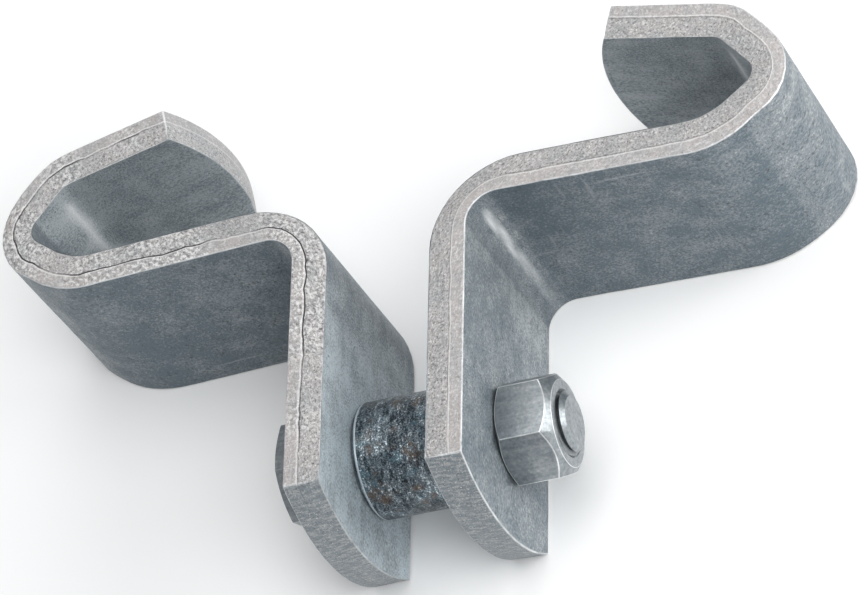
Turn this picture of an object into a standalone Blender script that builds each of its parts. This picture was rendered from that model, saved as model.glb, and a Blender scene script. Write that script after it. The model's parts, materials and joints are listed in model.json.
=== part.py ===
"""Pair of bent flat-bar hooks clamped back to back on a spacer sleeve by one hex bolt and nut.

Metres, +Z up. X runs along the bolt, Y from the drilled leg ends up to the lips, and the hooks
lie on the far edges of their plates, so Z is the width of the plate.
"""
import bmesh
import bpy
from math import atan2, cos, pi, radians, sin, sqrt, tan
from mathutils import Matrix, Vector

# ---- driving dimensions, metres ----
PLATE_THICKNESS = 0.0095
PLATE_WIDTH = 0.0535
END_ARC_RADIUS = PLATE_WIDTH        # both ends of the plate are cut to a bowed line
LEG_GAP = 0.0268                    # between the two drilled legs
HOLE_TO_LEG_CORNER = 0.0204         # bolt axis above the two corners of the leg end
HOLE_OFF_MIDDLE = 0.0030            # bolt axis below the middle of the plate's width
CONTACT_GAP = 0.0003                # between pieces that touch

# Centre line of the plate: a run, the turn at its end in degrees, and the radii on the left
# and on the right of the direction of travel.
HOOK_RUNS = (
    (0.0754, -92.0, 0.0215, 0.0075),    # leg, then the bend out to the arm
    (0.0676, 39.5, 0.0170, 0.0260),     # arm, then the first fold of the hook
    (0.0233, 92.5, 0.0040, 0.0155),     # lower web, then the crown of the hook
    (0.0224, 36.8, 0.0050, 0.0130),     # upper web, then the fold back to the lip
    (0.0313, 0.0, 0.0, 0.0),            # lip
)

BOLT_HOLE_DIAMETER = 0.0175
THREAD_PITCH = 0.002
HEX_ACROSS_FLATS = 0.024
HEAD_HEIGHT = 0.0106
NUT_HEIGHT = 0.0142
WASHER_FACE_HEIGHT = 0.0005         # turned ring under the head and on the nut
WASHER_FACE_DIAMETER = 0.0225
CORNER_CHAMFER_ANGLE = 40.0         # degrees, on the outer corners of the head and the nut
CROWN_RATIO = 0.885                 # diameter of the flat crown over the distance across flats
HEAD_TURN = 9.0                     # degrees about +X, how the head and the nut were left
NUT_TURN = 5.0
NUT_COUNTERSINK = 0.0009
SHANK_DIAMETER = 0.0158
THREAD_PITCH_DIAMETER = 0.0147      # the thread is drawn plain, at its pitch diameter
BOLT_END_CHAMFER = 0.0010
BOLT_PAST_NUT = 0.0018
SLEEVE_OUTER_DIAMETER = 0.0290
SLEEVE_BORE_DIAMETER = 0.0170
SLEEVE_CHAMFER = 0.0012

ARC_STEP = 6.0                      # degrees of arc per facet on the hooks
ROUND_SEGMENTS = 48
CUTTER_MARGIN = 0.02

# ---- places worked out from the dimensions ----
HALF_WIDTH = PLATE_WIDTH / 2
END_ARC_RISE = END_ARC_RADIUS - sqrt(END_ARC_RADIUS ** 2 - HALF_WIDTH ** 2)
LEG_FACE_X = LEG_GAP / 2
OUTER_FACE_X = LEG_FACE_X + PLATE_THICKNESS
BOLT_LENGTH = 2 * (OUTER_FACE_X + CONTACT_GAP) + NUT_HEIGHT + BOLT_PAST_NUT
PLAIN_SHANK_LENGTH = 2 * OUTER_FACE_X - PLATE_THICKNESS / 2


def startScene():
    for obj in list(bpy.data.objects):
        bpy.data.objects.remove(obj, do_unlink=True)
    parts = bpy.data.collections.new("hook_pair_coupler")
    cutters = bpy.data.collections.new("cutters")
    bpy.context.scene.collection.children.link(parts)
    bpy.context.scene.collection.children.link(cutters)
    return parts, cutters


def material(name, colour, roughness, metallic):
    mat = bpy.data.materials.new(name)
    mat.use_nodes = True
    shader = mat.node_tree.nodes["Principled BSDF"]
    shader.inputs["Base Color"].default_value = (*colour, 1.0)
    shader.inputs["Roughness"].default_value = roughness
    shader.inputs["Metallic"].default_value = metallic
    return mat


def offsetCorners(side):
    """Corners of the plate's left (+1) or right (-1) face line, from the centre line's runs."""
    point = Vector((PLATE_THICKNESS / 2, 0.0))
    heading = pi / 2
    shift = side * PLATE_THICKNESS / 2
    corners = [point + shift * Vector((-sin(heading), cos(heading)))]
    headings = [heading]
    for run, turn, _, _ in HOOK_RUNS:
        point = point + run * Vector((cos(heading), sin(heading)))
        before = Vector((-sin(heading), cos(heading)))
        heading += radians(turn)
        after = Vector((-sin(heading), cos(heading)))
        corners.append(point + shift * (before + after) / (1 + before.dot(after)))
        headings.append(heading)
    return corners, headings


def filletedLine(side):
    """Face line of the plate with its arcs, as points from the leg end to the lip end."""
    corners, headings = offsetCorners(side)
    points = [corners[0]]
    for i, (_, turn, leftRadius, rightRadius) in enumerate(HOOK_RUNS[:-1]):
        radius = leftRadius if side > 0 else rightRadius
        angle = radians(turn)
        bendSide = 1 if angle > 0 else -1
        tangent = radius * tan(abs(angle) / 2)
        heading = headings[i]
        start = corners[i + 1] - tangent * Vector((cos(heading), sin(heading)))
        normal = bendSide * Vector((-sin(heading), cos(heading)))
        centre = start + radius * normal
        steps = max(3, round(abs(turn) / ARC_STEP))
        for k in range(steps + 1):
            now = heading + angle * k / steps
            points.append(centre - radius * bendSide * Vector((-sin(now), cos(now))))
    points.append(corners[-1])
    return points


def lowestPoint():
    """Y of the leg end's bowed tip, in the hook's own outline."""
    return -END_ARC_RISE


def highestPoint():
    """Y of the lip end's outer corner with its bow, in the hook's own outline."""
    outer, headings = offsetCorners(-1)
    return outer[-1].y + END_ARC_RISE * sin(headings[-1])


# The part's origin is at the middle of its box, at the bottom.
ORIGIN_SHIFT_Y = -(lowestPoint() + highestPoint()) / 2
BOLT_Y = HOLE_TO_LEG_CORNER + ORIGIN_SHIFT_Y
BOLT_Z = HALF_WIDTH - HOLE_OFF_MIDDLE


def plateEnds():
    """Centre of the plate and the way it points at the leg end and at the lip end."""
    left, headings = offsetCorners(1)
    right, _ = offsetCorners(-1)
    leg = ((left[0] + right[0]) / 2, headings[0] + pi)
    lip = ((left[-1] + right[-1]) / 2, headings[-1])
    return leg, lip


def polyCurve(name, points, thickness, collection):
    curve = bpy.data.curves.new(name, "CURVE")
    curve.dimensions = "2D"
    curve.fill_mode = "BOTH"
    curve.extrude = thickness / 2
    spline = curve.splines.new("POLY")
    spline.points.add(len(points) - 1)
    for slot, point in zip(spline.points, points):
        slot.co = (point[0], point[1], 0.0, 1.0)
    spline.use_cyclic_u = True
    obj = bpy.data.objects.new(name, curve)
    collection.objects.link(obj)
    return obj


def curveToMesh(obj, name, collection):
    """Swap a filled curve for a closed mesh of the same shape, in place."""
    bpy.context.view_layer.update()
    depsgraph = bpy.context.evaluated_depsgraph_get()
    mesh = bpy.data.meshes.new_from_object(obj.evaluated_get(depsgraph))
    shape = bmesh.new()
    shape.from_mesh(mesh)
    bmesh.ops.remove_doubles(shape, verts=shape.verts, dist=0.00001)
    bmesh.ops.recalc_face_normals(shape, faces=shape.faces)
    shape.to_mesh(mesh)
    shape.free()
    solid = bpy.data.objects.new(name, mesh)
    solid.matrix_world = obj.matrix_world.copy()
    collection.objects.link(solid)
    bpy.data.objects.remove(obj, do_unlink=True)
    solid.name = name
    return solid


def asCutter(obj):
    obj.hide_render = True
    obj.display_type = "WIRE"
    return obj


def combine(obj, other, label, operation):
    boolean = obj.modifiers.new(label, "BOOLEAN")
    boolean.operation = operation
    boolean.object = other


def endTrim(name, centre, heading, mirror, cutters):
    """Block with one hollow round side. It cuts a plate end to a bowed line."""
    steps = 24
    halfAngle = atan2(HALF_WIDTH, END_ARC_RADIUS - END_ARC_RISE) * 1.15
    hollow = []
    for k in range(steps + 1):
        angle = halfAngle * (2 * k / steps - 1)
        along = END_ARC_RADIUS * (cos(angle) - 1) + END_ARC_RISE
        hollow.append((along, END_ARC_RADIUS * sin(angle)))
    reach = END_ARC_RISE + CUTTER_MARGIN
    side = END_ARC_RADIUS * sin(halfAngle)
    outline = hollow + [(reach, side), (reach, -side)]
    block = polyCurve(name + "_outline", outline, PLATE_THICKNESS + CUTTER_MARGIN, cutters)
    block = curveToMesh(block, name, cutters)
    # Its own X points out of the plate, its own Y runs up the plate's width.
    out = Vector((mirror * cos(heading), sin(heading), 0.0))
    up = Vector((0.0, 0.0, 1.0))
    across = out.cross(up)
    turn = Matrix((out, up, across)).transposed().to_4x4()
    place = Vector((mirror * (LEG_FACE_X + centre.x), centre.y + ORIGIN_SHIFT_Y, HALF_WIDTH))
    block.matrix_world = Matrix.Translation(place) @ turn
    return asCutter(block)


def boltHoleCutter(name, cutters):
    mesh = bpy.data.meshes.new(name)
    shape = bmesh.new()
    bmesh.ops.create_cone(shape, cap_ends=True, segments=ROUND_SEGMENTS, radius1=BOLT_HOLE_DIAMETER / 2,
                          radius2=BOLT_HOLE_DIAMETER / 2, depth=2 * (OUTER_FACE_X + CUTTER_MARGIN))
    bmesh.ops.rotate(shape, verts=shape.verts, matrix=Matrix.Rotation(pi / 2, 3, "Y"))
    shape.to_mesh(mesh)
    shape.free()
    obj = bpy.data.objects.new(name, mesh)
    obj.location = (0.0, BOLT_Y, BOLT_Z)
    cutters.objects.link(obj)
    return asCutter(obj)


def shadeRound(obj, angle=30.0):
    obj.data.shade_smooth()
    obj.data.set_sharp_from_angle(angle=radians(angle))


def hook(name, mirror, steel, parts, cutters):
    """One hook: the folded plate, its two bowed ends and the hole for the bolt."""
    outline = filletedLine(1) + filletedLine(-1)[::-1]
    # The plate starts a little long, and the end trims bring it to its bowed ends.
    _, headings = offsetCorners(1)
    spare = 1.5 * END_ARC_RISE
    half = len(outline) // 2
    lipWay = Vector((cos(headings[-1]), sin(headings[-1]))) * spare
    outline[0] = outline[0] - Vector((0.0, spare))
    outline[-1] = outline[-1] - Vector((0.0, spare))
    outline[half - 1] = outline[half - 1] + lipWay
    outline[half] = outline[half] + lipWay
    flat = []
    for point in outline:
        flat.append((mirror * (LEG_FACE_X + point.x), point.y + ORIGIN_SHIFT_Y - BOLT_Y))
    curve = polyCurve(name + "_outline", flat, PLATE_WIDTH, parts)
    body = curveToMesh(curve, name, parts)
    # The hook's origin is on the bolt's axis, and its plate is centred on its own half width.
    body.data.transform(Matrix.Translation((0.0, 0.0, HALF_WIDTH - BOLT_Z)))
    body.location = (0.0, BOLT_Y, BOLT_Z)
    for label, (centre, heading) in zip(("leg_end", "lip_end"), plateEnds()):
        combine(body, endTrim(f"{name}_{label}", centre, heading, mirror, cutters), label, "DIFFERENCE")
    combine(body, boltHoleCutter(name + "_hole", cutters), "bolt_hole", "DIFFERENCE")
    body.data.materials.clear()
    body.data.materials.append(steel)
    shadeRound(body)
    return body


def screwed(name, profile, closed, collection):
    """Solid turned about its own Z: the profile holds (radius, height), down its outer side."""
    mesh = bpy.data.meshes.new(name)
    points = [(radius, 0.0, height) for radius, height in profile]
    edges = [(k, k + 1) for k in range(len(points) - 1)]
    if closed:
        edges.append((len(points) - 1, 0))
    mesh.from_pydata(points, edges, [])
    obj = bpy.data.objects.new(name, mesh)
    collection.objects.link(obj)
    screw = obj.modifiers.new("turn", "SCREW")
    screw.axis = "Z"
    screw.angle = 2 * pi
    screw.steps = ROUND_SEGMENTS
    screw.render_steps = ROUND_SEGMENTS
    screw.use_merge_vertices = True
    screw.merge_threshold = 0.00001
    screw.use_smooth_shade = True
    return obj


def layAlongBolt(obj, x, turn=0.0, flip=False):
    """Point the piece's own Z along +X, or along -X, at a place on the bolt's axis."""
    lay = Matrix.Rotation(-pi / 2 if flip else pi / 2, 4, "Y")
    spin = Matrix.Rotation(radians(turn), 4, "X")
    obj.matrix_world = Matrix.Translation((x, BOLT_Y, BOLT_Z)) @ spin @ lay


def hexPrism(name, height, base, parts):
    """Hexagon standing on its own Z between base and base + height, two corners on its own Y."""
    mesh = bpy.data.meshes.new(name)
    shape = bmesh.new()
    radius = HEX_ACROSS_FLATS / sqrt(3)
    bmesh.ops.create_cone(shape, cap_ends=True, segments=6, radius1=radius, radius2=radius,
                          depth=height)
    bmesh.ops.translate(shape, verts=shape.verts, vec=(0.0, 0.0, base + height / 2))
    shape.to_mesh(mesh)
    shape.free()
    obj = bpy.data.objects.new(name, mesh)
    parts.objects.link(obj)
    return obj


def chamferShape(name, height, cutters):
    """Turned outline that gives a hexagon its washer face below and its sloping corners above."""
    outer = HEX_ACROSS_FLATS / sqrt(3) * 1.05
    crown = HEX_ACROSS_FLATS * CROWN_RATIO / 2
    drop = (outer - crown) * tan(radians(CORNER_CHAMFER_ANGLE))
    profile = [(0.0, height), (crown, height), (outer, height - drop), (outer, WASHER_FACE_HEIGHT),
               (WASHER_FACE_DIAMETER / 2, WASHER_FACE_HEIGHT), (WASHER_FACE_DIAMETER / 2, 0.0),
               (0.0, 0.0)]
    return asCutter(screwed(name, profile, False, cutters))


def hexBolt(steel, parts, cutters):
    """Bolt from the head's bearing face at its origin: shank, then the thread at its pitch size."""
    name = "hex_bolt"
    bolt = hexPrism(name, HEAD_HEIGHT, 0.0, parts)
    chamfer = chamferShape(name + "_head_shape", HEAD_HEIGHT, cutters)
    overlap = HEAD_HEIGHT / 2
    end = -BOLT_LENGTH
    shank = SHANK_DIAMETER / 2
    thread = THREAD_PITCH_DIAMETER / 2
    profile = [(0.0, overlap), (shank, overlap), (shank, -PLAIN_SHANK_LENGTH),
               (thread, -PLAIN_SHANK_LENGTH - THREAD_PITCH / 2), (thread, end + BOLT_END_CHAMFER),
               (thread - BOLT_END_CHAMFER, end), (0.0, end)]
    stem = asCutter(screwed(name + "_stem", profile, False, cutters))
    combine(bolt, chamfer, "head_corners", "INTERSECT")
    combine(bolt, stem, "stem", "UNION")
    for piece in (bolt, chamfer, stem):
        layAlongBolt(piece, -OUTER_FACE_X - CONTACT_GAP, HEAD_TURN, flip=True)
    bolt.data.materials.append(steel)
    return bolt


def hexNut(steel, parts, cutters):
    """Nut with its washer face at its origin and a plain bore at the thread's pitch size."""
    name = "hex_nut"
    nut = hexPrism(name, NUT_HEIGHT, 0.0, parts)
    chamfer = chamferShape(name + "_shape", NUT_HEIGHT, cutters)
    bore = THREAD_PITCH_DIAMETER / 2 + CONTACT_GAP
    mouth = bore + NUT_COUNTERSINK
    low = -CUTTER_MARGIN
    high = NUT_HEIGHT + CUTTER_MARGIN
    profile = [(0.0, high), (mouth, high), (mouth, NUT_HEIGHT), (bore, NUT_HEIGHT - NUT_COUNTERSINK),
               (bore, NUT_COUNTERSINK), (mouth, 0.0), (mouth, low), (0.0, low)]
    hole = asCutter(screwed(name + "_bore", profile, False, cutters))
    combine(nut, chamfer, "corners", "INTERSECT")
    combine(nut, hole, "bore", "DIFFERENCE")
    for piece in (nut, chamfer, hole):
        layAlongBolt(piece, OUTER_FACE_X + CONTACT_GAP, NUT_TURN)
    nut.data.materials.append(steel)
    return nut


def spacerSleeve(steel, parts):
    """Thick tube between the legs, chamfered at both ends, with its origin at its middle."""
    half = LEG_GAP / 2 - CONTACT_GAP
    outer = SLEEVE_OUTER_DIAMETER / 2
    bore = SLEEVE_BORE_DIAMETER / 2
    profile = [(outer - SLEEVE_CHAMFER, half), (outer, half - SLEEVE_CHAMFER),
               (outer, SLEEVE_CHAMFER - half), (outer - SLEEVE_CHAMFER, -half),
               (bore, -half), (bore, half)]
    sleeve = screwed("spacer_sleeve", profile, True, parts)
    layAlongBolt(sleeve, 0.0)
    sleeve.data.materials.append(steel)
    return sleeve


def build():
    parts, cutters = startScene()
    plate = material("hook_plate", (0.40, 0.43, 0.45), 0.50, 0.85)
    zinc = material("fastener_zinc", (0.62, 0.63, 0.64), 0.32, 1.0)
    dark = material("sleeve_steel", (0.16, 0.19, 0.23), 0.38, 0.9)
    hook("left_hook", -1, plate, parts, cutters)
    hook("right_hook", 1, plate, parts, cutters)
    hexBolt(zinc, parts, cutters)
    hexNut(zinc, parts, cutters)
    spacerSleeve(dark, parts)


build()
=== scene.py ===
import json
from math import cos, pi, radians, sin, sqrt, tan
import bpy
import bmesh
from mathutils import Matrix, Vector, noise


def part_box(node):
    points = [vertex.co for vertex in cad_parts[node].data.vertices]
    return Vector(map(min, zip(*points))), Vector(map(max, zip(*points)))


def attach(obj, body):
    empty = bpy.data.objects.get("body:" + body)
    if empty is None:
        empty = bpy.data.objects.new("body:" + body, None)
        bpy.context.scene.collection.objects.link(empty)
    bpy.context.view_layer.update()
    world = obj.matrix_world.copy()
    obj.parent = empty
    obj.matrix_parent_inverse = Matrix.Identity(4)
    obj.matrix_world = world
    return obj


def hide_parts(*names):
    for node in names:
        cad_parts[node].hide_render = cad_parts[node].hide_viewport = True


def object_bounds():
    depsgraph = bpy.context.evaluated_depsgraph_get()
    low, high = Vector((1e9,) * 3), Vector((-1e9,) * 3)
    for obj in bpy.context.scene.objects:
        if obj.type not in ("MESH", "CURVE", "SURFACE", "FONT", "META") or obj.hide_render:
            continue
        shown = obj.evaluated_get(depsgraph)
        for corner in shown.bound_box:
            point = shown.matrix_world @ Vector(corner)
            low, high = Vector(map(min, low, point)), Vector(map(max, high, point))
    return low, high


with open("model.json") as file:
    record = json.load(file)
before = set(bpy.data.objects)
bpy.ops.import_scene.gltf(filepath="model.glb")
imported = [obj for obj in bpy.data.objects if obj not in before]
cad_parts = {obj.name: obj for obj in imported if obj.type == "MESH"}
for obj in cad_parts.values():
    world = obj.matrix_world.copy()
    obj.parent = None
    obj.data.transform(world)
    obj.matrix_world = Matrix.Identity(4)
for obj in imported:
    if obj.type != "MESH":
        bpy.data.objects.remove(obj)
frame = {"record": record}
cadLow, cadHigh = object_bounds()
record = frame["record"]
joints = {joint["name"]: joint for joint in record["behaviour"]["joints"]}

boltY, boltZ = joints["nut_turn"]["pos_m"][1:]
rightLow, rightHigh = (Vector(corner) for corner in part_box("right_hook"))
nutLow, nutHigh = (Vector(corner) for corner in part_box("hex_nut"))
boltLow, boltHigh = (Vector(corner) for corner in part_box("hex_bolt"))
sleeveLow, sleeveHigh = (Vector(corner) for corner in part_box("spacer_sleeve"))
plateWidth = rightHigh.z - rightLow.z
legFaceX = rightLow.x
sameSpot = 0.000005         # points closer than this are one point, in metres
print("frame loaded")


# Small tools for working in edit mode.

def clearSelection():
    if bpy.context.mode != "OBJECT":
        bpy.ops.object.mode_set(mode="OBJECT")
    bpy.ops.object.select_all(action="DESELECT")


def makeActive(obj):
    clearSelection()
    obj.select_set(True)
    bpy.context.view_layer.objects.active = obj


def applyModifier(obj, kind, **settings):
    makeActive(obj)
    modifier = obj.modifiers.new(kind.lower(), kind)
    for key, setting in settings.items():
        setattr(modifier, key, setting)
    bpy.ops.object.modifier_apply(modifier=modifier.name)


def selectEdges(obj, test):
    # Only the edges whose two ends pass the test.
    makeActive(obj)
    bpy.ops.object.mode_set(mode="EDIT")
    bpy.ops.mesh.select_mode(type="EDGE")
    bpy.ops.mesh.select_all(action="DESELECT")
    shape = bmesh.from_edit_mesh(obj.data)
    for edge in shape.edges:
        edge.select = test(edge.verts[0].co, edge.verts[1].co)
    shape.select_flush_mode()
    bmesh.update_edit_mesh(obj.data)


def closeSeams(obj):
    # Merge what an operator left double or without area, then turn all faces outwards.
    makeActive(obj)
    bpy.ops.object.mode_set(mode="EDIT")
    bpy.ops.mesh.select_all(action="SELECT")
    bpy.ops.mesh.remove_doubles(threshold=sameSpot)
    bpy.ops.mesh.dissolve_degenerate(threshold=sameSpot)
    bpy.ops.mesh.normals_make_consistent(inside=False)
    bpy.ops.object.mode_set(mode="OBJECT")


def smoothShade(obj, degrees):
    makeActive(obj)
    bpy.ops.object.shade_smooth_by_angle(angle=radians(degrees))


def writeAttribute(obj, name, values, kind="FLOAT", domain="POINT"):
    layer = obj.data.attributes.new(name, kind, domain)
    if kind == "FLOAT":
        layer.data.foreach_set("value", values)
    else:
        layer.data.foreach_set("vector", [part for value in values for part in value])


def markRims(obj, widest):
    # The narrow faces of rounded edges, where handling rubs the finish bright; the pale tone laid on them is also a
    # painted highlight.
    rims = []
    for face in obj.data.polygons:
        corners = [obj.data.vertices[index].co for index in face.vertices]
        around = sum((one - two).length for one, two in zip(corners, corners[1:] + corners[:1]))
        endOn = abs(face.normal.x) > 0.98
        rims.append(0.0 if endOn or 2 * face.area > widest * around else 1.0)
    writeAttribute(obj, "wornRimAndHighlight", rims, domain="FACE")


def finishPiece(obj, body, material, node):
    # The piece's place stays in its mesh, and the frame is told what it is.
    makeActive(obj)
    bpy.ops.object.transform_apply(location=True, rotation=True, scale=True)
    obj.data.materials.clear()
    obj.data.materials.append(material)
    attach(obj, body)
    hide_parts(node)
    print(obj.name, "made of", len(obj.data.polygons), "faces")


class Value:
    # One socket in a material. Sums of values add their Math nodes.
    def __init__(self, paint, socket):
        self.paint = paint
        self.socket = socket

    def maths(self, operation, first, second):
        return self.paint.node("Math", {"operation": operation}, {0: first, 1: second})

    def __add__(self, other):
        return self.maths("ADD", self, other)

    def __radd__(self, other):
        return self.maths("ADD", other, self)

    def __sub__(self, other):
        return self.maths("SUBTRACT", self, other)

    def __rsub__(self, other):
        return self.maths("SUBTRACT", other, self)

    def __mul__(self, other):
        return self.maths("MULTIPLY", self, other)

    def __rmul__(self, other):
        return self.maths("MULTIPLY", other, self)

    def __abs__(self):
        return self.maths("ABSOLUTE", self, 0.0)


class Paint:
    # A material, with one method that adds any node to it and a few short ways to common ones.
    def __init__(self, name):
        self.material = bpy.data.materials.new(name)
        self.material.use_nodes = True
        self.tree = self.material.node_tree
        self.shader = self.tree.nodes["Principled BSDF"]

    def node(self, kind, settings=None, sockets=None, output=0):
        node = self.tree.nodes.new("ShaderNode" + kind)
        for key, setting in (settings or {}).items():
            setattr(node, key, setting)
        for key, value in (sockets or {}).items():
            self.feed(node.inputs[key], value)
        return Value(self, node.outputs[output])

    def feed(self, socket, value):
        if isinstance(value, Value):
            self.tree.links.new(value.socket, socket)
        elif socket.type == "RGBA":
            socket.default_value = (*value, 1.0)
        else:
            socket.default_value = value

    def finish(self, **sockets):
        for name, value in sockets.items():
            self.feed(self.shader.inputs[name.replace("_", " ")], value)
        return self.material

    def noise(self, place, scale, detail=4.0, roughness=0.55, stretch=None):
        if stretch:
            place = self.node("Mapping", None, {"Vector": place, "Scale": stretch})
        return self.node("TexNoise", None, {"Vector": place, "Scale": scale, "Detail": detail,
                                            "Roughness": roughness})

    def step(self, value, low, high, first=0.0, last=1.0):
        # From first to last as value goes from low to high.
        return self.node("MapRange", {"interpolation_type": "SMOOTHSTEP"},
                         {"Value": value, "From Min": low, "From Max": high,
                          "To Min": first, "To Max": last})

    def mix(self, factor, first, second):
        return self.node("Mix", {"data_type": "RGBA"}, {0: factor, 6: first, 7: second}, output=2)

    def number(self, name):
        return self.node("Attribute", {"attribute_name": name}, output=2)

    def place(self, name):
        return self.node("Attribute", {"attribute_name": name}, output=1)

    def objectPlace(self):
        return self.node("TexCoord", output=3)

    def bump(self, height, strength, distance, before=None):
        sockets = {"Height": height, "Strength": strength, "Distance": distance}
        if before:
            sockets["Normal"] = before
        return self.node("Bump", None, sockets)


plateFinish = {
    "faceDark": (0.115, 0.15, 0.175),       # rolled faces, blue-grey and mottled
    "faceMid": (0.22, 0.25, 0.27),
    "facePale": (0.42, 0.44, 0.45),
    "paintedLight": (0.66, 0.75, 0.80),             # painted light: a pale blue-grey laid on faces of the legs and the hook that lie in shade
    "smoothCut": (0.46, 0.43, 0.42),        # sheared edge: the smooth band, then the torn one
    "tornCut": (0.46, 0.44, 0.435),
    "endCut": (0.29, 0.325, 0.345),         # cropped ends
    "sparkle": (0.86, 0.85, 0.84),
    "deep": (0.07, 0.07, 0.075),
    "rubbedAndHighlight": (0.86, 0.87, 0.88),
    "metallic": 0.45,
}


def plateMaterial():
    paint = Paint("hookPlate")
    tone = plateFinish
    place = paint.place("barPlace")
    cut = paint.number("cutFace")
    endCut = paint.number("endFace")
    tear = paint.number("tearOffset")       # how far past the tear line, in metres
    tearDark = paint.number("tearDark")
    rim = paint.number("wornRimAndHighlight")
    fold = paint.number("foldHighlight")
    paintedLighting = paint.number("paintedFaceLighting")
    paintedLight = paint.number("paintedLightFace")
    clouds = paint.noise(place, 30.0, 5.0, 0.6)
    patches = paint.noise(place, 120.0, 6.0, 0.7)
    grain = paint.noise(place, 1500.0, 3.0, 0.7)
    fine = paint.noise(place, 2600.0, 2.0, 0.6)
    drawn = paint.noise(place, 300.0, 4.0, 0.6, stretch=(0.2, 1.0, 1.0))
    scuffs = paint.step(paint.noise(place, 420.0, 2.0, 0.5, stretch=(1.0, 1.0, 0.12)), 0.66, 0.76)
    scrapes = paint.step(paint.noise(place, 300.0, 2.0, 0.5, stretch=(0.10, 1.0, 1.4)), 0.68, 0.76)
    pits = paint.step(paint.noise(place, 1100.0, 3.0, 0.65), 0.60, 0.68)
    # The shade value shifts the mottle: painted shade under the arms, painted light inside the hook and along the
    # legs.
    mottle = clouds * 0.13 + patches * 0.22 + grain * 0.33 + fine * 0.22 + drawn * 0.10 + paintedLighting
    face = paint.mix(paint.step(mottle, 0.42, 0.52), tone["faceDark"], tone["faceMid"])
    face = paint.mix(paint.step(mottle, 0.51, 0.62), face, tone["facePale"])
    face = paint.mix(scuffs * 0.3, face, tone["facePale"])
    face = paint.mix(scrapes * 0.14, face, tone["rubbedAndHighlight"])
    # Painted light: the legs, most of all the inner faces towards the end, and the inside of the hook are lifted
    # towards a pale tone.
    face = paint.mix(paintedLight * (paint.step(mottle, 0.46, 0.60, 0.25, 1.0)), face, tone["paintedLight"])
    face = paint.mix(pits * 0.6, face, tone["deep"])
    # Painted highlight along the inside of the folds.
    face = paint.mix(fold, face, tone["rubbedAndHighlight"])
    crystals = paint.noise(place, 1900.0, 4.0, 0.7)
    torn = paint.step(tear, 0.0, 0.00012)
    edge = paint.mix(torn, tone["smoothCut"], tone["tornCut"])
    edge = paint.mix(paint.step(crystals, 0.54, 0.66) * (0.35 + torn * 0.5), edge, tone["sparkle"])
    edge = paint.mix(paint.step(crystals, 0.46, 0.37) * (0.15 + torn * 0.6), edge, tone["deep"])
    edge = paint.mix(paint.step(patches, 0.42, 0.62) * 0.35, edge, tone["endCut"])
    edge = paint.mix(paint.step(grain, 0.52, 0.64) * 0.35, edge, tone["rubbedAndHighlight"])
    edge = paint.mix(paint.step(fine, 0.60, 0.70) * 0.5, edge, tone["deep"])
    crumbs = paint.noise(place, 900.0, 4.0, 0.75)
    edge = paint.mix(tearDark * paint.step(crumbs, 0.50, 0.58) * 0.8, edge, tone["sparkle"])
    edge = paint.mix(tearDark * paint.step(crumbs, 0.44, 0.36) * 0.6, edge, tone["deep"])
    # Painted shade: a dark line along the groove between the smooth and the torn band, with a painted highlight
    # just beside it.
    line = paint.step(abs(tear), 0.00026, 0.00008)
    edge = paint.mix(line * tearDark, edge, tone["deep"])
    edge = paint.mix(paint.step(abs(tear + 0.00042), 0.00026, 0.00006) * 0.55, edge, tone["sparkle"])
    shear = paint.noise(place, 1500.0, 3.0, 0.6, stretch=(1.0, 0.22, 1.0))
    ends = paint.mix(paint.step(shear, 0.42, 0.58), tone["faceMid"], tone["endCut"])
    ends = paint.mix(paint.step(shear * 0.5 + grain * 0.5, 0.50, 0.62) * 0.8, ends, tone["smoothCut"])
    ends = paint.mix(paint.step(crystals, 0.46, 0.36) * 0.6, ends, tone["deep"])
    ends = paint.mix(paint.step(fine, 0.62, 0.70) * 0.7, ends, tone["sparkle"])
    edge = paint.mix(endCut, edge, ends)
    colour = paint.mix(cut, face, edge)
    # Rounded rims: worn bright and a painted highlight.
    colour = paint.mix(rim * 0.9, colour, tone["rubbedAndHighlight"])
    rough = paint.step(mottle, 0.35, 0.75, 0.54, 0.40) + cut * 0.05 - rim * 0.16 - fold * 0.1
    surface = paint.bump(grain * 0.5 + patches * 0.3 + drawn * 0.25 + fine * 0.3 - pits * 0.5, 0.8, 0.0004)
    broken = crystals * torn * cut * (1 - endCut) + shear * endCut * cut * 1.2 - line * tearDark * cut
    surface = paint.bump(broken, 0.8, 0.0005, before=surface)
    return paint.finish(Base_Color=colour, Roughness=rough, Metallic=tone["metallic"], Normal=surface)


zincFinish = {
    "dark": (0.19, 0.215, 0.235),
    "mid": (0.31, 0.335, 0.35),
    "pale": (0.62, 0.63, 0.64),
    "rubbedAndHighlight": (0.90, 0.905, 0.91),
    "groove": (0.03, 0.035, 0.04),          # the shaded roots of the thread
    "metallic": 0.75,
}


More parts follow.
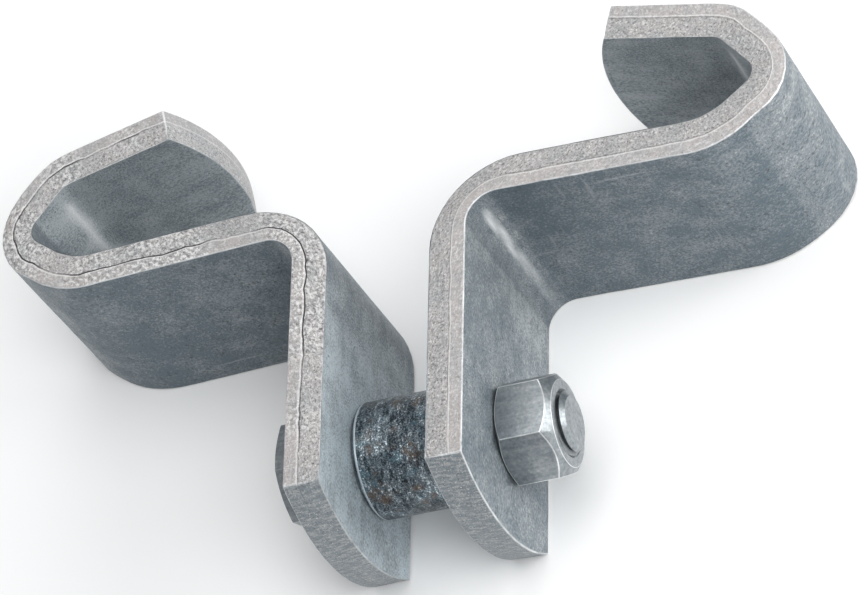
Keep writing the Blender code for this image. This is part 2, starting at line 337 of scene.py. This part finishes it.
def zincMaterial():
    paint = Paint("brightZinc")
    tone = zincFinish
    place = paint.objectPlace()
    clouds = paint.noise(place, 120.0, 5.0, 0.6)
    grain = paint.noise(place, 1100.0, 3.0, 0.6)
    drawn = paint.noise(place, 650.0, 4.0, 0.6, stretch=(0.10, 1.0, 1.0))
    rim = paint.number("wornRimAndHighlight")
    groove = paint.number("threadGroove")
    mottle = clouds * 0.26 + drawn * 0.32 + grain * 0.42
    colour = paint.mix(paint.step(mottle, 0.36, 0.58), tone["dark"], tone["mid"])
    colour = paint.mix(paint.step(mottle, 0.54, 0.74), colour, tone["pale"])
    # Rims: worn bright and a painted highlight along the rounded edges.
    colour = paint.mix(rim * paint.step(clouds, 0.35, 0.6, 0.35, 0.9), colour, tone["rubbedAndHighlight"])
    colour = paint.mix(groove * 0.9, colour, tone["groove"])
    rough = paint.step(mottle, 0.3, 0.7, 0.40, 0.28)
    surface = paint.bump(drawn * 0.6 + grain * 0.2 + clouds * 0.3, 0.35, 0.0003)
    return paint.finish(Base_Color=colour, Roughness=rough, Metallic=tone["metallic"], Normal=surface)


sleeveFinish = {
    "dark": (0.022, 0.030, 0.038),
    "mid": (0.14, 0.17, 0.19),
    "pale": (0.56, 0.63, 0.67),
    "blue": (0.13, 0.23, 0.28),             # stains from heat and from rust
    "brown": (0.125, 0.085, 0.060),
    "glint": (0.70, 0.78, 0.82),
    "rubbedAndHighlight": (0.75, 0.80, 0.84),
    "metallic": 0.9,
}


def sleeveMaterial():
    paint = Paint("stainedSleeve")
    tone = sleeveFinish
    place = paint.objectPlace()
    centred = paint.node("Mapping", None, {"Vector": place, "Location": (0.0, -boltY, -boltZ)})
    streaks = paint.noise(centred, 800.0, 5.0, 0.7, stretch=(1.0, 0.4, 0.4))
    clouds = paint.noise(centred, 110.0, 4.0, 0.6)
    blueSpots = paint.noise(centred, 170.0, 5.0, 0.65)
    brownSpots = paint.noise(centred, 190.0, 5.0, 0.65, stretch=(1.0, 0.7, 1.4))
    grain = paint.noise(centred, 2300.0, 3.0, 0.65)
    rim = paint.number("wornRimAndHighlight")
    mottle = streaks * 0.38 + clouds * 0.24 + grain * 0.38
    colour = paint.mix(paint.step(mottle, 0.43, 0.52), tone["dark"], tone["mid"])
    colour = paint.mix(paint.step(mottle, 0.52, 0.62), colour, tone["pale"])
    colour = paint.mix(paint.step(blueSpots, 0.55, 0.70) * 0.5, colour, tone["blue"])
    colour = paint.mix(paint.step(brownSpots, 0.52, 0.68) * 0.75, colour, tone["brown"])
    glints = paint.step(grain * 0.6 + streaks * 0.4, 0.56, 0.64)
    colour = paint.mix(glints * 0.75, colour, tone["glint"])
    # Rims: worn bright and a painted highlight along the rounded edges.
    colour = paint.mix(rim * 0.9, colour, tone["rubbedAndHighlight"])
    rough = paint.step(mottle, 0.3, 0.7, 0.38, 0.24)
    surface = paint.bump(streaks * 0.6 + grain * 0.5, 0.8, 0.0004)
    return paint.finish(Base_Color=colour, Roughness=rough, Metallic=tone["metallic"], Normal=surface)


plateSteel = plateMaterial()
zincSteel = zincMaterial()
sleeveSteel = sleeveMaterial()
print("finishes made")


plateShape = {
    "thickness": 0.0095,
    # Centre line: length of a run, the turn at its end in degrees, radii of the left and the right face.
    "runs": [
        (0.0754, -92.0, 0.0215, 0.0075),
        (0.0676, 39.5, 0.0170, 0.0260),
        (0.0233, 92.5, 0.0040, 0.0155),
        (0.0224, 36.8, 0.0050, 0.0130),
        (0.0313, 0.0, 0.0, 0.0),
    ],
    "cornerRound": 0.00042,
    "cutsAlong": 259,
    "cutsThrough": 20,
    "cutsAcross": 44,
    "holeDiameter": 0.0175,
    "bowReach": 0.0105,         # the bow of each end dies out over this length
    "smoothBand": 0.0039,       # of the sheared edge, beside the right face
    "tearLean": 0.00035,        # the torn band falls away by this much
    "tearRough": 0.00022,
    "tearGroove": 0.00022,      # depth of the line between the two bands
    "cutRough": 0.00008,
    "faceRough": 0.00006,
    "foldDrawIn": 0.0007,       # the outer side of a fold is drawn in by this much
}
thickness = plateShape["thickness"]


class FaceLine:
    # One face of the plate seen edge on, as straight and round sections in turn.
    def __init__(self, side):
        half = side * thickness / 2
        point = Vector((thickness / 2, 0.0))
        headings = [pi / 2]
        corners = [point + half * Vector((-1.0, 0.0))]
        for run, turn, leftRadius, rightRadius in plateShape["runs"]:
            heading = headings[-1]
            point = point + run * Vector((cos(heading), sin(heading)))
            before = Vector((-sin(heading), cos(heading)))
            heading += radians(turn)
            after = Vector((-sin(heading), cos(heading)))
            corners.append(point + half * (before + after) / (1 + before.dot(after)))
            headings.append(heading)
        self.sections = []
        start = corners[0]
        for i, (run, turn, leftRadius, rightRadius) in enumerate(plateShape["runs"][:-1]):
            radius = leftRadius if side > 0 else rightRadius
            angle = radians(turn)
            tangent = radius * tan(abs(angle) / 2)
            way = Vector((cos(headings[i]), sin(headings[i])))
            towards = Vector((-way.y, way.x)) * (1 if angle > 0 else -1)
            bendStart = corners[i + 1] - tangent * way
            self.sections.append(("straight", (bendStart - start).length, start, bendStart))
            self.sections.append(("bend", radius * abs(angle), bendStart + radius * towards, radius,
                                  headings[i], angle))
            start = corners[i + 1] + tangent * Vector((cos(headings[i + 1]), sin(headings[i + 1])))
        self.sections.append(("straight", (corners[-1] - start).length, start, corners[-1]))

    def way(self, index):
        return (self.sections[index][3] - self.sections[index][2]).normalized()

    def at(self, index, share):
        section = self.sections[index]
        if section[0] == "straight":
            return section[2] + share * (section[3] - section[2])
        centre, radius, heading, angle = section[2:]
        now = heading + angle * share
        towards = Vector((-sin(now), cos(now))) * (1 if angle > 0 else -1)
        return centre - radius * towards


leftFace = FaceLine(1)
rightFace = FaceLine(-1)
sectionLengths = [(left[1] + right[1]) / 2 for left, right in zip(leftFace.sections, rightFace.sections)]
sectionStarts = [sum(sectionLengths[:i]) for i in range(len(sectionLengths))]
barLength = sum(sectionLengths)
endRise = plateWidth * (1 - sqrt(0.75))      # each end is an arc as wide in radius as the plate
legCornerY = rightLow.y + endRise


def easing(value, low, high):
    share = min(max((value - low) / (high - low), 0.0), 1.0)
    return share * share * (3 - 2 * share)


def bowAt(up):
    # How far an end stands out at this place across the plate.
    return sqrt(plateWidth ** 2 - (up - plateWidth / 2) ** 2) - plateWidth * sqrt(0.75)


def foldAt(along):
    # How sharply the plate is folded here: above zero where the left face is the inside.
    total = 0.0
    for index in range(1, len(sectionStarts), 2):
        middle = sectionStarts[index] + sectionLengths[index] / 2
        reach = sectionLengths[index] / 2 + 0.003
        sharpness = leftFace.sections[index][5] / (pi / 2)
        total += sharpness * (1 - easing(abs(along - middle), 0.3 * reach, reach))
    return total


def bentPlace(along, through, up):
    # Where a point of the straight bar comes to lie in the right hook.
    index = 0
    while index < len(sectionStarts) - 1 and along > sectionStarts[index + 1]:
        index += 1
    beyond = along - min(max(along, 0.0), barLength)
    share = (along - beyond - sectionStarts[index]) / sectionLengths[index]
    flat = leftFace.at(index, share).lerp(rightFace.at(index, share), through / thickness)
    if beyond:
        flat += beyond * leftFace.way(index)
    return Vector((legFaceX + flat.x, legCornerY + flat.y, rightLow.z + up))


def straightBar(name):
    clearSelection()
    bpy.ops.mesh.primitive_cube_add(size=1.0, location=(barLength / 2, thickness / 2, plateWidth / 2))
    bar = bpy.context.object
    bar.name = name
    bar.scale = (barLength, thickness, plateWidth)
    bpy.ops.object.transform_apply(location=True, rotation=True, scale=True)
    for axis, cuts in ((0, plateShape["cutsAlong"]), (2, plateShape["cutsAcross"]),
                       (1, plateShape["cutsThrough"])):
        others = [side for side in range(3) if side != axis]
        selectEdges(bar, lambda a, b: all(abs(a[side] - b[side]) < 0.000001 for side in others))
        bpy.ops.mesh.subdivide(number_cuts=cuts)
    size = (barLength, thickness, plateWidth)

    def onCorner(a, b):
        middle = (a + b) / 2
        return sum(min(middle[side], size[side] - middle[side]) < 0.000001 for side in range(3)) >= 2

    selectEdges(bar, onCorner)
    bpy.ops.mesh.bevel(offset=plateShape["cornerRound"], segments=3, profile=0.5, clamp_overlap=False)
    bpy.ops.object.mode_set(mode="OBJECT")
    clearSelection()
    bpy.ops.mesh.primitive_cylinder_add(vertices=72, radius=plateShape["holeDiameter"] / 2,
                                        depth=4 * thickness, rotation=(pi / 2, 0.0, 0.0),
                                        location=(boltY - legCornerY, thickness / 2, boltZ - rightLow.z))
    drill = bpy.context.object
    applyModifier(bar, "BOOLEAN", operation="DIFFERENCE", object=drill, solver="EXACT")
    bpy.data.objects.remove(drill)
    return bar


def hookFrom(name, body, mirror, seed, tearStrength, wandering):
    bar = straightBar(name)
    points = [point.co.copy() for point in bar.data.vertices]
    shift = Vector((0.0, 0.0, seed))
    corner = plateShape["cornerRound"]
    cutFace, endFace, tearOffset, tearDark = [], [], [], []
    wornRimAndHighlight, foldHighlight, paintedFaceLighting, paintedLightFace, barPlace, bent = [], [], [], [], [], []
    # Painted highlight: a bright band along the inside of two folds, where the bend catches the light.
    creases = [(sectionStarts[1] + sectionLengths[1] / 2 + 0.0010, False, 0.0019, 0.9),
               (sectionStarts[7] - 0.0008, True, 0.0026, 0.85)]
    for along, through, up in points:
        edgeDepth = min(up, plateWidth - up)
        endDepth = min(along, barLength - along)
        faceDepth = min(through, thickness - through)
        onEdge = 1.0 if edgeDepth < 0.45 * corner else 0.0
        onEnd = 1.0 if endDepth < 0.45 * corner and edgeDepth > 0.45 * corner else 0.0
        wander = noise.noise(Vector((along * 260, up * 30, 0.0)) + shift)
        wander += 0.45 * noise.noise(Vector((along * 1100, up * 30, 5.0)) + shift)
        pastTear = thickness - plateShape["smoothBand"] - through + wandering * wander
        strength = tearStrength * easing(noise.noise(Vector((along * 60, 9.0, 2.0)) + shift), -0.35, 0.1)
        cutFace.append(max(onEdge, onEnd))
        endFace.append(onEnd if along < barLength / 2 else 0.3 * onEnd)
        tearOffset.append(pastTear)
        tearDark.append(strength)
        # Rims: worn bright, and a painted highlight along the rounded corners.
        rounded = sorted((edgeDepth, endDepth, faceDepth))[1] < 0.95 * corner
        rimWearAndHighlight = 0.65 + 0.6 * noise.noise(Vector((along * 330, through * 80, up * 330)) + shift)
        wornRimAndHighlight.append(min(max(rimWearAndHighlight, 0.15), 1.0) if rounded else 0.0)
        creaseHighlight = 0.0
        for middle, isLeft, reach, amount in creases:
            inside = through < 0.3 * thickness if isLeft else through > 0.7 * thickness
            if inside and not onEdge:
                drift = 0.0008 * noise.noise(Vector((up * 150, 3.0, 1.0)) + shift)
                near = 1 - easing(abs(along - middle - drift), 0.2 * reach, reach)
                fade = easing(plateWidth - up, 0.003, 0.008)
                fade *= 1 - 0.8 * easing(plateWidth - up, 0.012, 0.048)
                creaseHighlight = max(creaseHighlight, amount * near * fade)
        foldHighlight.append(creaseHighlight)
        shade = 0.0
        inner = through < thickness / 2
        if sectionStarts[2] - 0.004 < along < sectionStarts[4] and not inner:
            shade = -0.045                       # painted shade: the under side of the arm is darker
        nearEnd = 1 - easing(along, 0.028, 0.078)
        paintedLight = 0.0
        # Painted light and shade on the legs: the inner face darker near the fold and paler towards the end, the
        # outer face paler near the fold.
        if along < sectionStarts[1]:
            shade = 0.060 * nearEnd - 0.015 if inner else 0.060 - 0.060 * nearEnd
            paintedLight = 0.9 * nearEnd if inner else 0.12
        if along > sectionStarts[6] and inner:
            shade = 0.045                        # painted light: paler inside the hook
            paintedLight = 0.32
        paintedLightFace.append(paintedLight)
        paintedFaceLighting.append(shade)
        barPlace.append(Vector((along, through, up)) + Vector((seed, 0.0, 0.0)))
        # Shape of the sheared faces, then of the folds, all inwards.
        torn = easing(pastTear, 0.0, 0.0006)
        spot = Vector((along, through, up))
        roughness = 0.5 + 0.5 * noise.noise(spot * 900 + shift) + 0.35 * noise.noise(spot * 2200)
        lean = plateShape["tearLean"] * easing(pastTear, 0.0, 0.006)
        sink = torn * (lean + plateShape["tearRough"] * roughness)
        sink += plateShape["tearGroove"] * strength * (1 - easing(abs(pastTear), 0.0, 0.0005))
        sink = max(sink + plateShape["cutRough"] * (1 - torn) * roughness, 0.0)
        fold = foldAt(along)
        outer = 1 - through / thickness if fold < 0 else through / thickness
        drawIn = plateShape["foldDrawIn"] * abs(fold) * outer ** 2
        newUp = up
        side = 1 if up < plateWidth / 2 else -1
        edgeReach = 1 - easing(edgeDepth, corner, corner + 0.0035)
        newUp += side * edgeReach * drawIn
        if edgeDepth < 0.5 * corner:
            newUp += side * sink
        newAlong = along
        bow = bowAt(up) * (1 - min(endDepth / plateShape["bowReach"], 1.0))
        if endDepth < 0.5 * corner:
            bow -= 0.8 * sink
        newAlong += bow if along > barLength / 2 else -bow
        # Rolled faces are never quite flat.
        if faceDepth < 0.2 * corner:
            low = plateShape["faceRough"] * (1 + noise.noise(Vector((along * 120, through * 50, up * 120)) + shift))
            through += low if through < thickness / 2 else -low
        place = bentPlace(newAlong, through, newUp)
        bent.append((mirror * place.x, place.y, place.z))
    for attribute, values in (("cutFace", cutFace), ("endFace", endFace), ("tearOffset", tearOffset),
                              ("tearDark", tearDark), ("wornRimAndHighlight", wornRimAndHighlight), ("foldHighlight", foldHighlight),
                              ("paintedFaceLighting", paintedFaceLighting), ("paintedLightFace", paintedLightFace)):
        writeAttribute(bar, attribute, values)
    writeAttribute(bar, "barPlace", barPlace, kind="FLOAT_VECTOR")
    bar.data.vertices.foreach_set("co", [part for place in bent for part in place])
    bar.data.update()
    makeActive(bar)
    bpy.ops.object.mode_set(mode="EDIT")
    bpy.ops.mesh.select_all(action="SELECT")
    bpy.ops.mesh.normals_make_consistent(inside=False)
    bpy.ops.object.mode_set(mode="OBJECT")
    smoothShade(bar, 50)
    finishPiece(bar, body, plateSteel, body)


hookFrom("rightHookPlate", "right_hook", 1, 0.0, 0.25, 0.00022)
hookFrom("leftHookPlate", "left_hook", -1, 3.7, 1.0, 0.0006)


bolting = {
    "acrossFlats": 0.024,
    # Radius and slope in degrees of the turned corners, at the front and at the back.
    "nutCorners": (0.01062, 40.0, 0.0117, 30.0),
    "headCorners": (0.0116, 16.0, 0.0132, 15.0),
    "headHeight": 0.0106,
    "headTurn": 9.0,
    "nutTurn": 5.0,
    "edgeRound": 0.00022,
    "shankRadius": 0.0079,
    "rootRadius": 0.0068,
    "pitch": 0.002,
    "crestShare": 0.20,         # of the pitch that the crest keeps
    "rootShare": 0.16,
    "threadLength": 0.0216,
    "endChamfer": 0.0013,
    "threadPlay": 0.00012,
    "runOut": 0.0011,           # length over which the plain shank narrows to the thread's root
    "overlap": 0.004,           # by which the head, the shank and the thread run into each other
    "countersinkRadius": 0.00845,
    "countersinkDepth": 0.0013,
}


def turned(name, outline, steps=96):
    # An outline of (radius, distance along X) spun about the bolt's axis.
    clearSelection()
    bpy.ops.mesh.primitive_plane_add(size=0.01)
    obj = bpy.context.object
    obj.name = name
    bpy.ops.object.transform_apply(location=True, rotation=True, scale=True)
    corners = [Vector((x, boltY + radius, boltZ)) for radius, x in outline]
    shape = bmesh.new()
    line = [shape.verts.new(corner) for corner in corners]
    for first, second in zip(line, line[1:]):
        shape.edges.new((first, second))
    shape.to_mesh(obj.data)
    shape.free()
    bpy.ops.object.mode_set(mode="EDIT")
    bpy.ops.mesh.select_all(action="SELECT")
    bpy.ops.mesh.spin(steps=steps, angle=2 * pi, center=(0.0, boltY, boltZ), axis=(1.0, 0.0, 0.0))
    bpy.ops.object.mode_set(mode="OBJECT")
    closeSeams(obj)
    return obj


def hexBlock(name, front, back, turn, corners):
    # A hexagon along X whose corners are turned off round at the front, and a little at the back.
    clearSelection()
    cornerRadius = bolting["acrossFlats"] / sqrt(3)
    middle = ((front + back) / 2, boltY, boltZ)
    bpy.ops.mesh.primitive_cylinder_add(vertices=6, radius=cornerRadius, depth=abs(front - back),
                                        location=middle, rotation=(0.0, pi / 2, 0.0))
    block = bpy.context.object
    block.name = name
    bpy.ops.object.transform_apply(location=True, rotation=True, scale=True)
    block.data.transform(turnedBy(turn))
    out = 1 if front > back else -1
    outer = cornerRadius * 1.05
    beyond = 0.001
    frontRadius, frontSlope, backRadius, backSlope = corners
    outline = [(0.0, front + out * beyond),
               (frontRadius - beyond / tan(radians(frontSlope)), front + out * beyond),
               (outer, front - out * (outer - frontRadius) * tan(radians(frontSlope))),
               (outer, back + out * (outer - backRadius) * tan(radians(backSlope))),
               (backRadius - beyond / tan(radians(backSlope)), back - out * beyond),
               (0.0, back - out * beyond)]
    lathe = turned(name + "Lathe", outline)
    applyModifier(block, "BOOLEAN", operation="INTERSECT", object=lathe, solver="EXACT")
    bpy.data.objects.remove(lathe)
    return block


def turnedBy(degreesAboutX):
    centre = Vector((0.0, boltY, boltZ))
    rotation = Matrix.Rotation(radians(degreesAboutX), 4, "X")
    return Matrix.Translation(centre) @ rotation @ Matrix.Translation(-centre)


def threadedRod(name, low, high, play, steps=72):
    # A right-hand thread with closed ends, as a screwed outline one pitch long, cut off square.
    pitch = bolting["pitch"]
    crest = bolting["shankRadius"] + play
    root = bolting["rootRadius"] + play
    flat = bolting["crestShare"] / 2
    rise = (1 - bolting["crestShare"] - bolting["rootShare"]) / 2
    outline = [(crest, 0.0), (crest, flat), (root, flat + rise), (root, 1 - flat - rise), (crest, 1 - flat),
               (crest, 1.0)]
    turns = int((high - low) / pitch) + 7
    first = -3 * pitch + pitch * int(low / pitch)      # both threads start on the same pitch
    clearSelection()
    bpy.ops.mesh.primitive_plane_add(size=0.01)
    rod = bpy.context.object
    rod.name = name
    shape = bmesh.new()
    line = [shape.verts.new((first + pitch * share, radius, 0.0)) for radius, share in outline]
    for one, two in zip(line, line[1:]):
        shape.edges.new((one, two))
    shape.to_mesh(rod.data)
    shape.free()
    rod.location = (0.0, boltY, boltZ)
    applyModifier(rod, "SCREW", axis="X", angle=2 * pi, screw_offset=pitch, iterations=turns, steps=steps,
                  render_steps=steps, use_merge_vertices=True, merge_threshold=sameSpot)
    bpy.ops.object.transform_apply(location=True, rotation=True, scale=True)
    closeSeams(rod)
    for place, way in ((low, -1), (high, 1)):
        bpy.ops.object.mode_set(mode="EDIT")
        bpy.ops.mesh.select_all(action="SELECT")
        bpy.ops.mesh.bisect(plane_co=(place, boltY, boltZ), plane_no=(way, 0.0, 0.0), use_fill=True,
                            clear_outer=True, threshold=0.000001)
        bpy.ops.object.mode_set(mode="OBJECT")
    closeSeams(rod)
    return rod


def combined(obj, other, operation):
    applyModifier(obj, "BOOLEAN", operation=operation, object=other, solver="EXACT")
    bpy.data.objects.remove(other)
    closeSeams(obj)


def softenEdges(obj, leastAngle):
    applyModifier(obj, "BEVEL", width=bolting["edgeRound"], segments=2, limit_method="ANGLE",
                  angle_limit=radians(leastAngle), use_clamp_overlap=True, miter_outer="MITER_ARC")
    closeSeams(obj)
    markRims(obj, 1.25 * bolting["edgeRound"])
    smoothShade(obj, 35)


# The bolt: its head on the left hook, its threaded end past the nut.
headFace = boltLow.x + bolting["headHeight"]
threadStart = boltHigh.x - bolting["threadLength"]
bolt = hexBlock("boltHeadAndShank", boltLow.x, headFace, -bolting["headTurn"], bolting["headCorners"])
softenEdges(bolt, 20)
overlap = bolting["overlap"]
shank = turned("boltShank", [(0.0, headFace - overlap), (bolting["shankRadius"], headFace - overlap),
                             (bolting["shankRadius"], threadStart),
                             (bolting["rootRadius"], threadStart + bolting["runOut"]),
                             (bolting["rootRadius"], threadStart + overlap), (0.0, threadStart + overlap)])
rod = threadedRod("boltThread", threadStart - 0.001, boltHigh.x + 0.001, 0.0)
tip = turned("boltTip", [(0.0, threadStart), (0.012, threadStart), (0.012, boltHigh.x - 0.005),
                         (bolting["shankRadius"] + 0.0006, boltHigh.x - bolting["endChamfer"] - 0.0006),
                         (bolting["rootRadius"] - 0.0004, boltHigh.x), (0.0, boltHigh.x)])
combined(rod, tip, "INTERSECT")
for part, widest in ((shank, 0.0), (rod, 0.00022)):
    markRims(part, widest)
    smoothShade(part, 40)
fromAxis = [sqrt((point.co.y - boltY) ** 2 + (point.co.z - boltZ) ** 2) for point in rod.data.vertices]
innermost = bolting["rootRadius"] - 0.0001
inGroove = [1.0 if innermost < radius < innermost + 0.0003 else 0.0 for radius in fromAxis]
writeAttribute(rod, "threadGroove", inGroove)
makeActive(bolt)
shank.select_set(True)
rod.select_set(True)
bpy.ops.object.join()
finishPiece(bolt, "bolt", zincSteel, "hex_bolt")

# The nut: chamfered corners, a countersink at each mouth and the thread between them.
nut = hexBlock("threadedNut", nutHigh.x, nutLow.x, bolting["nutTurn"], bolting["nutCorners"])
tap = threadedRod("nutTap", nutLow.x - 0.002, nutHigh.x + 0.002, bolting["threadPlay"])
mouth = bolting["countersinkRadius"]
depth = bolting["countersinkDepth"]
past = 0.001                    # the drill goes on past both faces of the nut
centreDrill = turned("nutMouths", [(0.0, nutLow.x - past), (mouth, nutLow.x - past), (mouth, nutLow.x),
                                   (mouth - depth, nutLow.x + depth), (mouth - depth, nutHigh.x - depth),
                                   (mouth, nutHigh.x), (mouth, nutHigh.x + past), (0.0, nutHigh.x + past)])
softenEdges(nut, 20)
combined(nut, tap, "DIFFERENCE")
combined(nut, centreDrill, "DIFFERENCE")
smoothShade(nut, 35)
finishPiece(nut, "nut", zincSteel, "hex_nut")


sleeveShape = {
    "outerRadius": 0.0145,
    "boreRadius": 0.0085,
    "boreChamfer": 0.0004,
    "chamfer": 0.0011,
    "edgeRound": 0.0004,
    "toolMarks": 0.00006,       # depth of the marks that the turning left
    "marks": 60,
}


def turnedSleeve():
    outer = sleeveShape["outerRadius"]
    bore = sleeveShape["boreRadius"]
    chamfer = sleeveShape["chamfer"]
    boreCut = sleeveShape["boreChamfer"]
    low, high = sleeveLow.x, sleeveHigh.x
    marks = sleeveShape["marks"]
    outline = [(bore, low + boreCut), (bore + boreCut, low), (outer - chamfer, low), (outer, low + chamfer)]
    for k in range(1, marks):
        x = low + chamfer + (high - low - 2 * chamfer) * k / marks
        worn = sleeveShape["toolMarks"] * (0.6 + 0.6 * noise.noise(Vector((x * 2600, 4.0, 1.0))))
        outline.append((outer - max(worn, 0.0), x))
    outline += [(outer, high - chamfer), (outer - chamfer, high), (bore + boreCut, high),
                (bore, high - boreCut), (bore, low + boreCut)]
    sleeve = turned("turnedSleeve", outline, steps=128)
    applyModifier(sleeve, "BEVEL", width=sleeveShape["edgeRound"], segments=2, limit_method="ANGLE",
                  angle_limit=radians(30))
    closeSeams(sleeve)
    markRims(sleeve, 0.6 * sleeveShape["edgeRound"])
    smoothShade(sleeve, 40)
    finishPiece(sleeve, "sleeve", sleeveSteel, "spacer_sleeve")


turnedSleeve()


studio = {
    "floorColour": (0.97, 0.97, 0.97),
    "world": 0.42,
    "aim": (0.0019, 0.0066, 0.02675),
    "distance": 1.1237,
    "forward": (-0.34741, 0.52610, -0.77623),
    "right": (0.91715, 0.01822, -0.39813),
    "lens": 193.0,
    # name, place, size, watts, colour
    "lamps": [
        ("overhead", (0.10, 0.05, 1.00), 0.9, 3.6, (1.0, 0.985, 0.97)),
        ("right", (1.00, 0.10, 0.38), 0.8, 6.4, (1.0, 0.985, 0.965)),
        ("behind", (0.05, 0.90, 0.60), 0.8, 2.2, (0.93, 0.97, 1.0)),
        ("front", (0.55, -0.50, 0.81), 0.6, 4.4, (0.97, 0.99, 1.0)),
    ],
}


def setStage():
    clearSelection()
    bpy.ops.mesh.primitive_plane_add(size=6.0, location=(0.0, 0.0, cadLow.z - 0.0002))
    floor = bpy.context.object
    floor.name = "floor"
    paint = Paint("paleFloor")
    floor.data.materials.append(paint.finish(Base_Color=(*studio["floorColour"],), Roughness=0.9))
    for name, place, size, watts, colour in studio["lamps"]:
        lamp = bpy.data.lights.new(name, "AREA")
        lamp.shape = "DISK"
        lamp.size = size
        lamp.energy = watts
        lamp.color = colour
        holder = bpy.data.objects.new(name, lamp)
        bpy.context.scene.collection.objects.link(holder)
        holder.location = place
        holder.rotation_euler = (Vector(studio["aim"]) - Vector(place)).to_track_quat("-Z", "Y").to_euler()
    world = bpy.data.worlds.new("studio")
    world.use_nodes = True
    world.node_tree.nodes["Background"].inputs["Color"].default_value = (0.96, 0.98, 1.0, 1.0)
    world.node_tree.nodes["Background"].inputs["Strength"].default_value = studio["world"]
    bpy.context.scene.world = world
    bpy.context.scene.view_settings.view_transform = "Standard"


def placeCamera():
    camera = bpy.data.cameras.new("camera")
    camera.lens = studio["lens"]
    camera.sensor_width = 36.0
    camera.clip_start = 0.05
    holder = bpy.data.objects.new("camera", camera)
    bpy.context.scene.collection.objects.link(holder)
    forward = Vector(studio["forward"]).normalized()
    right = Vector(studio["right"])
    right = (right - right.dot(forward) * forward).normalized()
    up = right.cross(forward)
    turn = Matrix((right, up, -forward)).transposed().to_4x4()
    holder.matrix_world = Matrix.Translation(Vector(studio["aim"]) - studio["distance"] * forward) @ turn
    bpy.context.scene.camera = holder


setStage()
placeCamera()
print("stage set")
